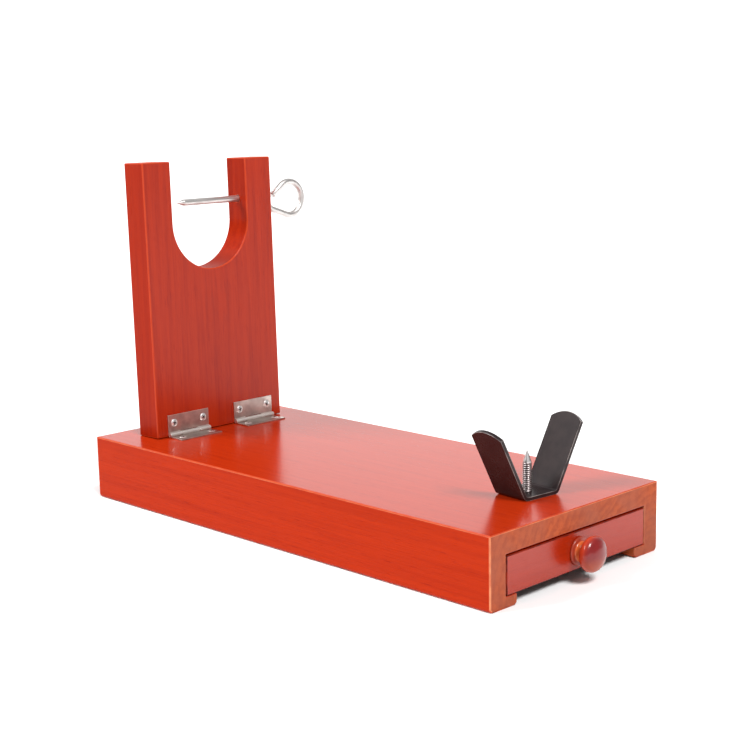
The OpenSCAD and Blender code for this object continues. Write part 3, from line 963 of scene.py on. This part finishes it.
def leaf(knuckles):
    """A hinge leaf lying on the base, with its knuckles given as ranges along the pin."""
    top = LEAF_THICKNESS - AXIS_OFFSET
    plate = block((-HINGE_HALF, -LEAF_REACH, -AXIS_OFFSET), (HINGE_HALF, -LEAF_RELIEF, top))
    # The knuckles take the lighter copy of the nickel, as painted light
    solid = joined(plate, *[prism(curl_section(), low, high, "X") for low, high in knuckles])
    for face in solid.faces:
        centre = face.calc_center_median()
        if math.hypot(centre.y, centre.z) < KNUCKLE_RADIUS + 0.05:
            face.material_index = CURL_MATERIAL
    bore = SHANK_RADIUS + 0.3
    mouth = HEAD_RADIUS + 0.12
    sinks = []
    for place in screw_places():
        sink = lathe([
            (0, -OVERCUT),
            (bore, -OVERCUT),
            (bore, 0.2),
            (mouth, LEAF_THICKNESS - 0.05),
            (mouth, LEAF_THICKNESS + OVERCUT),
            (0, LEAF_THICKNESS + OVERCUT),
        ])
        sinks.append(moved(sink, at(*place)))
    return cut(solid, *sinks)


def screw(turn):
    """A raised countersunk cross-head screw whose leaf lies on z = 0."""
    dome = (HEAD_RADIUS ** 2 + HEAD_CROWN ** 2) / (2 * HEAD_CROWN)
    top = LEAF_THICKNESS + HEAD_CROWN
    rim = math.degrees(math.asin((HEAD_RADIUS - 0.08) / dome))
    crown = arc((0, top - dome), dome, 90 - rim, 90, 10)
    profile = [
        (0, -SHANK_LENGTH),
        (0.2, -SHANK_LENGTH),
        (SHANK_RADIUS, SHANK_TIP - SHANK_LENGTH),
        (SHANK_RADIUS, 0),
        (HEAD_RADIUS - 0.1, LEAF_THICKNESS - 0.12),
        (HEAD_RADIUS, LEAF_THICKNESS),
        *crown[:-1],
        (0, top),
    ]
    recess = [moved(bar, at(0, 0, top - 0.02)) for bar in cross_recess(*SCREW_CROSS)]
    solid = cut(lathe(profile, 40), *recess)
    # The recess faces take the dark steel, as painted shade
    for face in solid.faces:
        centre = face.calc_center_median()
        across = math.hypot(centre.x, centre.y)
        if across < RECESS_REACH and 0 < centre.z < math.sqrt(dome ** 2 - across ** 2) + top - dome - 0.1:
            face.material_index = RECESS_MATERIAL
    return moved(solid, Matrix.Rotation(math.radians(turn), 4, "Z"))


def pin():
    """A hinge pin along Z, with its ends rounded off."""
    round_off = 0.25
    return lathe([
        (0, -HINGE_HALF),
        (PIN_RADIUS - round_off, -HINGE_HALF),
        (PIN_RADIUS, round_off - HINGE_HALF),
        (PIN_RADIUS, HINGE_HALF - round_off),
        (PIN_RADIUS - round_off, HINGE_HALF),
        (0, HINGE_HALF),
    ], 32)


def build_hinge(name, shift):
    """One hinge's two leaves and its pin."""
    inner = HINGE_HALF - END_KNUCKLE
    gap = KNUCKLE_GAP / 2
    lying = leaf([(gap - inner, inner - gap)])
    piece(f"{name}_base_leaf", moved(lying, ON_HINGE @ shift), "base",
          [nickel, painted_lit_nickel], [f"{name}_hinge_base_leaf"], ease=0.15, limit=30)
    standing = leaf([(-HINGE_HALF, -inner - gap), (inner + gap, HINGE_HALF)])
    piece(f"{name}_board_leaf", moved(standing, ON_UPRIGHT @ shift @ STOOD_UP), "upright",
          [nickel, painted_lit_nickel], [f"{name}_hinge_board_leaf"], ease=0.15, limit=30)
    piece(f"{name}_pin", moved(pin(), ON_UPRIGHT @ shift @ ALONG_X), "upright",
          [screw_steel], [f"{name}_hinge_pin"])


def build_hinges():
    base_screws = []
    board_screws = []
    for side, name in ((-1, "left"), (1, "right")):
        shift = at(side * HINGE_SPREAD, 0, 0)
        build_hinge(name, shift)
        # The crosses of the eight screws all stand at different turns, in degrees
        for index, place in enumerate(screw_places()):
            turn = 24 + 47 * index + 31 * side
            base_screws.append(moved(screw(turn), ON_HINGE @ shift @ at(*place)))
            board_screws.append(moved(screw(turn + 20), ON_UPRIGHT @ shift @ STOOD_UP @ at(*place)))
    piece("base_screws", together(*base_screws), "base", [screw_steel, painted_recess_shade_steel],
          ["hinge_base_screws"])
    piece("board_screws", together(*board_screws), "upright", [screw_steel, painted_recess_shade_steel],
          ["hinge_board_screws"])


# ---------------------------------------------------------------- upright and skewer


def board_outline():
    """The upright's outline from the front, in x and z from the hinge axis."""
    centre = NOTCH_FLOOR + NOTCH_RADIUS + board_foot
    top = board_foot + BOARD_HEIGHT
    notch = arc((0, centre), NOTCH_RADIUS, 0, -180, 48)
    outline = [(board_half, board_foot), (board_half, top), (NOTCH_RADIUS, top)]
    return outline + notch + [(-NOTCH_RADIUS, top), (-board_half, top), (-board_half, board_foot)]


def build_upright():
    solid = prism(board_outline(), AXIS_OFFSET, AXIS_OFFSET + BOARD_THICKNESS, "Y")
    reach = board_half + OVERCUT
    bore = lathe([(0, 0), (ROD_BORE, 0), (ROD_BORE, reach), (0, reach)], 32)
    bore = moved(bore, at(0, board_middle, SKEWER_HEIGHT) @ ALONG_X)
    solid = moved(cut(solid, bore), ON_UPRIGHT)
    piece("upright_wood", solid, "upright", [board_wood, board_edge],
          ["upright_board"], ease=WOOD_EASE)


def rod_route():
    """The rod's centre line in x and z, with the heading in degrees and the radius at each point."""
    tip_radius = 0.25
    # The point runs into the rod over a slightly rounded shoulder
    route = [
        (-SKEWER_REACH, 0, 0, tip_radius),
        (-SKEWER_REACH + SKEWER_POINT * 0.96, 0, 0, ROD_RADIUS * 0.97),
        (-SKEWER_REACH + SKEWER_POINT * 1.06, 0, 0, ROD_RADIUS),
        (KINK_START / 2, 0, 0, ROD_RADIUS),
        (KINK_START, 0, 0, ROD_RADIUS),
    ]
    x, z, heading, _ = route[-1]
    for part in EYE_PATH:
        if len(part) == 1:
            x += part[0] * math.cos(math.radians(heading))
            z += part[0] * math.sin(math.radians(heading))
            route.append((x, z, heading, ROD_RADIUS))
            continue
        radius, angle = part
        # A bend's centre lies to the side that the rod turns to
        side = math.copysign(90, angle)
        centre_x = x + radius * math.cos(math.radians(heading + side))
        centre_z = z + radius * math.sin(math.radians(heading + side))
        steps = max(6, round(abs(angle) / 5))
        for i in range(1, steps + 1):
            turned = heading + angle * i / steps
            x = centre_x - radius * math.cos(math.radians(turned + side))
            z = centre_z - radius * math.sin(math.radians(turned + side))
            route.append((x, z, turned, ROD_RADIUS))
        heading += angle
    round_off = 0.5
    x, z, turned, _ = route.pop()
    back_x = x - round_off * math.cos(math.radians(turned))
    back_z = z - round_off * math.sin(math.radians(turned))
    route.append((back_x, back_z, turned, ROD_RADIUS))
    route.append((x, z, turned, ROD_RADIUS - round_off))
    return route


def build_skewer():
    segments = 28
    rings = []
    for x, z, heading, radius in rod_route():
        side = Vector((-math.sin(math.radians(heading)), 0, math.cos(math.radians(heading))))
        depth = Vector((0, 1, 0))
        ring = []
        for i in range(segments):
            angle = 2 * math.pi * i / segments
            spoke = math.cos(angle) * side + math.sin(angle) * depth
            ring.append(Vector((x, 0, z)) + radius * spoke)
        rings.append(ring)
    solid = moved(stack(rings), ON_UPRIGHT @ at(0, board_middle, SKEWER_HEIGHT))
    piece("skewer_rod", solid, "skewer", [rod_steel], ["skewer"], limit=50)


# ---------------------------------------------------------------- drawer


def bottom_groove():
    """The groove that the bottom panel is let into."""
    return block(panel_low, (panel_high.x, panel_high.y + OVERCUT, panel_high.z))


def build_drawer_front():
    inner = side_low.x
    rebates = []
    for low_x, high_x in ((inner, front_high.x + OVERCUT), (front_low.x - OVERCUT, -inner)):
        low = (low_x, front_low.y + LIP, front_low.z - OVERCUT)
        high = (high_x, front_high.y + OVERCUT, front_high.z + OVERCUT)
        rebates.append(block(low, high))
    solid = cut(block(front_low, front_high), *rebates, bottom_groove())
    piece("drawer_face", solid, "drawer", [front_wood, front_edge_gap_shade], ["drawer_front"],
          ease=0.6)


def build_drawer_box():
    for node in ("drawer_left_side", "drawer_right_side"):
        solid = cut(block(*box_mm(node)), bottom_groove())
        piece(node.replace("drawer", "box"), solid, "drawer", [side_wood], [node],
              ease=0.4)
    piece("box_back", block(back_low, back_high), "drawer", [back_wood],
          ["drawer_back"], ease=0.4)
    piece("box_bottom", block(panel_low, panel_high), "drawer", [panel_wood],
          ["drawer_bottom"], ease=0.3)


def brad():
    """A brad whose flat head is level with z = 0 and whose point is up."""
    rounding = 0.2
    return lathe([
        (0, 0),
        (BRAD_HEAD_RADIUS - rounding, 0),
        (BRAD_HEAD_RADIUS, rounding),
        (BRAD_HEAD_RADIUS, BRAD_HEAD_HEIGHT),
        (BRAD_RADIUS, BRAD_HEAD_HEIGHT + 0.1),
        (BRAD_RADIUS, BRAD_LENGTH - BRAD_TIP),
        (0, BRAD_LENGTH),
    ], 24)


def build_brads():
    rows = (panel_high.z + BRAD_ABOVE_PANEL, side_high.z - BRAD_BELOW_TOP)
    front_row = front_low.y + ((front_high.y - front_low.y) + LIP) / 2
    back_row = (back_low.y + back_high.y) / 2
    proud = 0.05
    brads = []
    for side in (-1, 1):
        for y in (front_row, back_row):
            for z in rows:
                place = at(side * (side_high.x + proud), y, z)
                brads.append(moved(brad(), place @ Matrix.Rotation(-side * math.pi / 2, 4, "Y")))
        x = side * (back_high.x / 2)
        brads.append(moved(brad(), at(x, back_row, panel_low.z - proud)))
    piece("box_brads", together(*brads), "drawer", [steel], ["drawer_brads"])


# Points from the drawer's face towards -Y
ON_KNOB = at(0, front_low.y, knob_height) @ Matrix.Rotation(math.pi / 2, 4, "X")


def build_knob():
    edge = FLANGE_HEIGHT / 2
    rim = knob_radius - KNOB_EDGE_RADIUS
    flange = arc((FLANGE_RADIUS - edge, edge), edge, -90, 90, 10)
    neck = arc((NECK_RADIUS + NECK_FILLET, FLANGE_HEIGHT + NECK_FILLET), NECK_FILLET, 270, 180, 6)
    under = KNOB_EDGE_CENTRE - KNOB_EDGE_RADIUS
    throat = arc((NECK_RADIUS + THROAT_FILLET, under - THROAT_FILLET), THROAT_FILLET, 180, 90, 6)
    head = arc((rim, KNOB_EDGE_CENTRE), KNOB_EDGE_RADIUS, -90, KNOB_EDGE_TURN, 20)
    crown_inset = 1.6
    crown_angle = math.degrees(math.asin((rim - crown_inset) / KNOB_DOME_RADIUS))
    crown = arc((0, knob_reach - KNOB_DOME_RADIUS), KNOB_DOME_RADIUS, 90 - crown_angle, 90, 14)
    profile = [(0, 0)] + flange + neck + throat + head + crown[:-1] + [(0, knob_reach)]
    solid = moved(lathe(profile, 96), ON_KNOB)
    piece("knob", solid, "drawer", [knob_wood], ["drawer_knob"], limit=60)


def build_knob_screw():
    under_head = front_low.y - front_high.y
    head = under_head - PAN_HEIGHT
    profile = [(0, head)]
    profile += arc((PAN_RADIUS - PAN_ROUNDING, head + PAN_ROUNDING), PAN_ROUNDING, -90, 0, 6)
    profile += [(PAN_RADIUS, under_head), (BOLT_RADIUS, under_head + 0.1)]
    profile += [(BOLT_RADIUS, BOLT_REACH - BOLT_TIP), (BOLT_TIP_RADIUS, BOLT_REACH), (0, BOLT_REACH)]
    flip = at(0, 0, head) @ Matrix.Rotation(math.pi, 4, "X")
    solid = cut(lathe(profile, 40), *[moved(bar, flip) for bar in cross_recess(*BOLT_CROSS)])
    piece("knob_bolt", moved(solid, ON_KNOB), "drawer", [nickel], ["knob_screw"])


# ---------------------------------------------------------------- studio


def build_floor():
    """A white floor, wide enough to lie behind the stand in every view. The studio is in metres."""
    half = 80
    bm = bmesh.new()
    corners = [bm.verts.new((x * half, y * half, 0)) for x, y in ((-1, -1), (1, -1), (1, 1), (-1, 1))]
    bm.faces.new(corners)
    mesh = as_mesh("floor", bm)
    mesh.materials.append(floor_paper())
    as_object("floor", mesh)


def build_camera():
    """The camera that took the photo, from a fit to the stand's edges."""
    data = bpy.data.cameras.new("camera")
    data.sensor_width = 36
    data.lens = 71.16
    data.dof.use_dof = False
    data.clip_start = 0.05
    data.clip_end = 60
    camera = as_object("camera", data)
    position = Vector((-0.7179, -0.7465, 0.3017))
    forward = Vector((0.69151, 0.69847, -0.18427)).normalized()
    right = Vector((0.70796, -0.70599, -0.01924)).normalized()
    up = right.cross(forward)
    turn = Matrix((right, up, -forward)).transposed().to_4x4()
    camera.matrix_world = Matrix.Translation(position) @ turn
    bpy.context.scene.camera = camera


def build_world():
    """Dim behind the camera, and white beyond the stand, where its top reflects it."""
    dim, white, focus = 0.22, 1.28, 3
    world = bpy.data.worlds.new("studio")
    world.use_nodes = True
    bpy.context.scene.world = world
    nodes = world.node_tree.nodes
    links = world.node_tree.links
    where = nodes.new("ShaderNodeTexCoord")
    nearness = nodes.new("ShaderNodeVectorMath")
    nearness.operation = "DOT_PRODUCT"
    links.new(where.outputs["Generated"], nearness.inputs[0])
    nearness.inputs[1].default_value = Vector((0.78, 0.6, 0.15)).normalized()
    value = nearness.outputs["Value"]
    for operation, operand in (("MAXIMUM", 0), ("POWER", focus), ("MULTIPLY", white), ("ADD", dim)):
        step = nodes.new("ShaderNodeMath")
        step.operation = operation
        links.new(value, step.inputs[0])
        step.inputs[1].default_value = operand
        value = step.outputs[0]
    background = nodes["Background"]
    background.inputs[0].default_value = (1, 1, 1, 1)
    links.new(value, background.inputs[1])


def softbox(name, direction, width, strength):
    """A distant softbox in a direction, as wide as an angle in degrees."""
    data = bpy.data.lights.new(name, "SUN")
    data.angle = math.radians(width)
    data.energy = strength
    light = as_object(name, data)
    light.matrix_world = Vector(direction).to_track_quat("Z", "Y").to_matrix().to_4x4()


def build_studio():
    build_floor()
    build_world()
    softbox("front_softbox", (-0.16, -0.62, 0.77), 20, 3.25)
    softbox("left_softbox", (-0.62, 0.45, 0.64), 26, 2.9)
    view = bpy.context.scene.view_settings
    view.view_transform = "Standard"
    view.look = "None"
    view.exposure = 0
    view.gamma = 1


build_camera()
build_base()
build_rest()
build_spike()
build_hinges()
build_upright()
build_skewer()
build_drawer_front()
build_drawer_box()
build_brads()
build_knob()
build_knob_screw()
build_studio()
